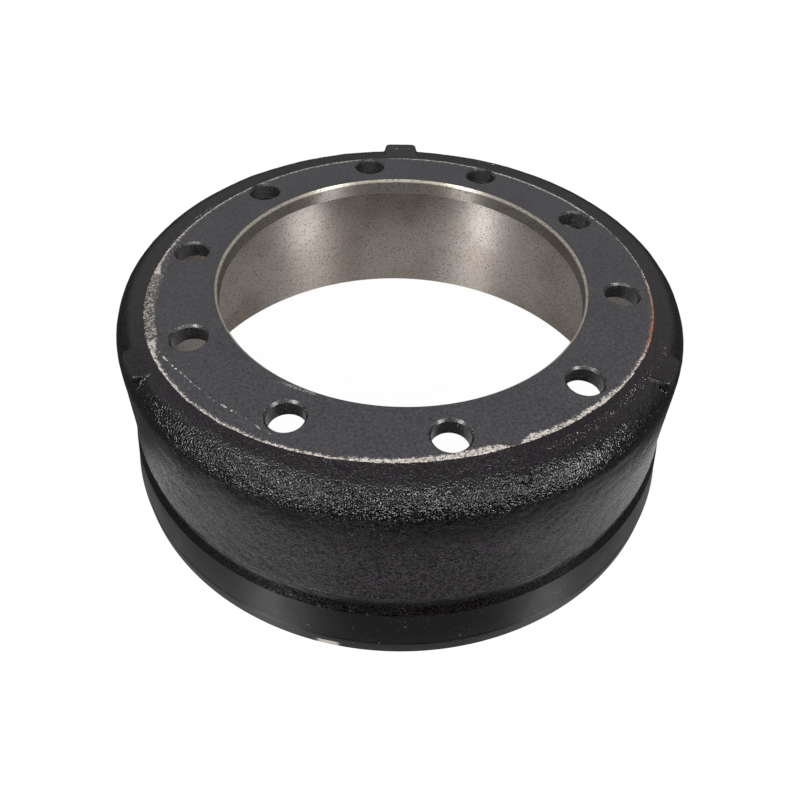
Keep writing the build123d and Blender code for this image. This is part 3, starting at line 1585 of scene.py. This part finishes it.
@dataclass(frozen=True)
class Viewpoint:
    """The camera.

    Attributes:
        location: Its place in metres.
        yaw: Heading in degrees from +Y towards +X.
        pitch: Angle below the horizon in degrees.
        roll: Turn about its own axis in degrees.
        focal: Focal length in pixels of the frame.
        frame_width: Width of the frame in pixels.
        sensor: Width of the sensor in mm.
        nearest: Distance in metres from which things are seen.
    """

    location: tuple[float, float, float] = (-0.01027, -0.43888, 0.47929)
    yaw: float = 1.53
    pitch: float = 46.50
    roll: float = 1.753
    focal: float = 691.28
    frame_width: float = 800.0
    sensor: float = 36.0
    nearest: float = 0.01

    def build(self) -> bpy.types.Object:
        """Places the camera and makes it the scene's own.

        Returns:
            The camera.
        """
        data = bpy.data.cameras.new("studio_camera")
        data.sensor_width = self.sensor
        data.lens = self.focal * self.sensor / self.frame_width
        data.clip_start = self.nearest
        camera = linked("studio_camera", data)
        yaw, pitch, roll = (math.radians(angle) for angle in (self.yaw, self.pitch, self.roll))
        ahead = Vector((math.sin(yaw) * math.cos(pitch), math.cos(yaw) * math.cos(pitch), -math.sin(pitch)))
        right = ahead.cross(Vector((0, 0, 1))).normalized()
        up = right.cross(ahead)
        side = math.cos(roll) * right + math.sin(roll) * up
        top = math.cos(roll) * up - math.sin(roll) * right
        basis = Matrix((side, top, -ahead)).transposed()
        camera.matrix_world = Matrix.Translation(self.location) @ basis.to_4x4()
        bpy.context.scene.camera = camera
        return camera


@dataclass(frozen=True)
class Studio:
    """Floor, surroundings, lamps and camera.

    The floor glows. Seen directly it is pale. In what the drum mirrors it is dark, as in a dark studio,
    with glowing rings round the drum that paint the light of a lit table and lamps at both sides,
    and a painted contact shadow just in front of the drum's foot.

    Attributes:
        floor_colour: Base colour of the floor.
        floor_glow: Brightness of the floor where it is seen directly, as a lit table.
        floor_size: Length of the floor's side in metres.
        foot: Brightness of the floor at the drum's foot as the drum mirrors it.
        near: Brightness of the floor round that, beside the drum and in front, where it is a painted contact
            shadow.
        far: The same farther out.
        outside: Brightness of the floor beyond that.
        edges: Distances in metres from the axis between which each goes over into the next.
        openings: Cosines of the angles from the front at which near and far change.
        shade: Brightness of the near floor behind the drum, a painted shade.
        behind: Cosines between which near fades out towards the back.
        sky: Brightness of the surroundings overhead.
        overhead: Sines of the elevations between which the sky begins.
        horizon: Brightness of the surroundings at the horizon in front, where the studio is open.
        sides: Brightness of the pale walls at the sides and behind.
        low: Share of their brightness that they have at the floor.
        lit: Sines of the elevations between which they come to their whole brightness.
        backdrop: Brightness of the surroundings where they are seen directly.
        front: Azimuth of the opening in degrees.
        opening: Cosines of the angles from there at which the walls begin and are whole.
        lamps: The lamps.
        viewpoint: The camera.
    """

    floor_colour: Colour = grey(0.04)
    floor_glow: float = 0.97
    floor_size: float = 9.0
    foot: float = 0.6
    near: Band = (0.7, 0.0)
    far: Band = (0.02, 0.3)
    outside: float = 0.01
    edges: tuple[Band, ...] = ((0.238, 0.246), (0.261, 0.268), (0.292, 0.322))
    openings: tuple[Band, ...] = ((0.9, 0.975), (0.35, 0.65))
    shade: float = 0.03
    behind: Band = (0.08, 0.32)
    sky: float = 0.15
    overhead: Band = (0.55, 0.88)
    horizon: float = 0.05
    sides: float = 0.8
    low: float = 0.2
    lit: Band = (0.1, 0.4)
    backdrop: float = 1.0
    front: float = 276.0
    opening: Band = (0.74, 0.86)
    lamps: tuple[SoftBox, ...] = (
        SoftBox("key_right", azimuth=319.0, elevation=27.0, width=0.36, height=1.3, power=28.0),
        SoftBox("key_left", azimuth=229.0, elevation=27.0, width=0.30, height=1.3, power=32.0),
        SoftBox("overhead", azimuth=268.0, elevation=58.0, width=1.0, height=0.6, power=7.4),
    )
    viewpoint: Viewpoint = Viewpoint()

    def floor(self) -> bpy.types.Object:
        """Makes the floor, which glows: pale where it is seen directly, painted light and shadow where the
        drum mirrors it.

        Returns:
            The floor.
        """
        shape = bmesh.new()
        bmesh.ops.create_grid(shape, x_segments=1, y_segments=1, size=self.floor_size / 2)
        mesh = bpy.data.meshes.new("studio_floor")
        shape.to_mesh(mesh)
        shape.free()
        material, graph = Graph.of_material("studio_floor")
        seen = graph.node("ShaderNodeLightPath", None, None, "Is Camera Ray")
        inputs = {
            "Base Color": self.floor_colour,
            "Roughness": 0.9,
            "Specular IOR Level": 0.1,
            # The floor's glow: pale to the camera, and for all other rays rings of painted light and a
            # painted contact shadow.
            "Emission Color": graph.mix(seen, self.mirrored(graph), grey(self.floor_glow)),
            "Emission Strength": 1.0,
        }
        shader = graph.node("ShaderNodeBsdfPrincipled", None, inputs)
        graph.node("ShaderNodeOutputMaterial", None, {0: shader})
        mesh.materials.append(material)
        floor = linked("studio_floor", mesh)
        return floor

    def mirrored(self, graph: Graph) -> Value:
        """Colours the floor's glow as the drum mirrors it: painted light, and a painted contact shadow.

        Args:
            graph: The floor's tree.

        Returns:
            The colour, in rings round the drum.
        """
        spot = graph.node("ShaderNodeTexCoord", None, None, "Object")
        rings = []
        for (beside, before), opening in zip((self.near, self.far), self.openings):
            reach, opened = self.opened(graph, spot, opening)
            rings.append(graph.mix(opened, grey(beside), grey(before)))
        rings[0] = graph.mix(self.opened(graph, spot, self.behind)[1], grey(self.shade), rings[0])
        colour = grey(self.foot)
        for ring, edge in zip((*rings, grey(self.outside)), self.edges):
            colour = graph.mix(graph.smooth(reach, *edge), colour, ring)
        return colour

    def opened(self, graph: Graph, direction: Value, opening: Band) -> tuple[Value, Value]:
        """Tells the open front of the studio from its sides and back.

        Args:
            graph: The tree.
            direction: A place or direction, of which the height is left out.
            opening: Cosines of the angles from the front where it begins and is whole.

        Returns:
            The distance from the axis, and 1 in front or 0 at the sides and behind.
        """
        x, y, _ = graph.parts(direction)
        turn = math.radians(self.front)
        reach = (x * x + y * y + TINY) ** 0.5
        ahead = (x * math.cos(turn) + y * math.sin(turn)) / reach
        return reach, graph.smooth(ahead, *opening)

    def surroundings(self) -> None:
        """Lights the scene from all round, least from the front and the floor."""
        world = bpy.data.worlds.new("studio")
        bpy.context.scene.world = world
        world.use_nodes = True
        graph = Graph(world.node_tree)
        direction = graph.node("ShaderNodeTexCoord", None, None, "Generated")
        rise = graph.parts(direction)[2]
        level = self.sides + self.opened(graph, direction, self.opening)[1] * (self.horizon - self.sides)
        level = level * (self.low + graph.smooth(rise, *self.lit) * (1 - self.low))
        level = level.towards(self.sky, graph.smooth(rise, *self.overhead))
        seen = graph.node("ShaderNodeLightPath", None, None, "Is Camera Ray")
        light = graph.node("ShaderNodeBackground", None, {"Strength": level.towards(self.backdrop, seen)})
        graph.node("ShaderNodeOutputWorld", None, {0: light})

    def build(self) -> None:
        """Builds the studio."""
        bpy.context.scene.view_settings.view_transform = "Standard"
        self.viewpoint.build()
        self.floor()
        self.surroundings()
        for lamp in self.lamps:
            lamp.build()
            log.info("lamp %s", lamp.name)


def corners(box: Sequence[Vector]) -> list[list[float]]:
    """Turns a box's corners into plain lists."""
    return [list(corner) for corner in box]


def main() -> None:
    """Builds the studio and the drum."""
    logging.basicConfig(level=logging.INFO, format="%(name)s: %(message)s")
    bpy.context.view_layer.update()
    Studio().build()
    piece = Drum(Sizes.from_record(frame["record"])).build()
    log.info("%s: %d faces", piece.name, len(piece.data.polygons))


if __name__ == "__main__":
    main()
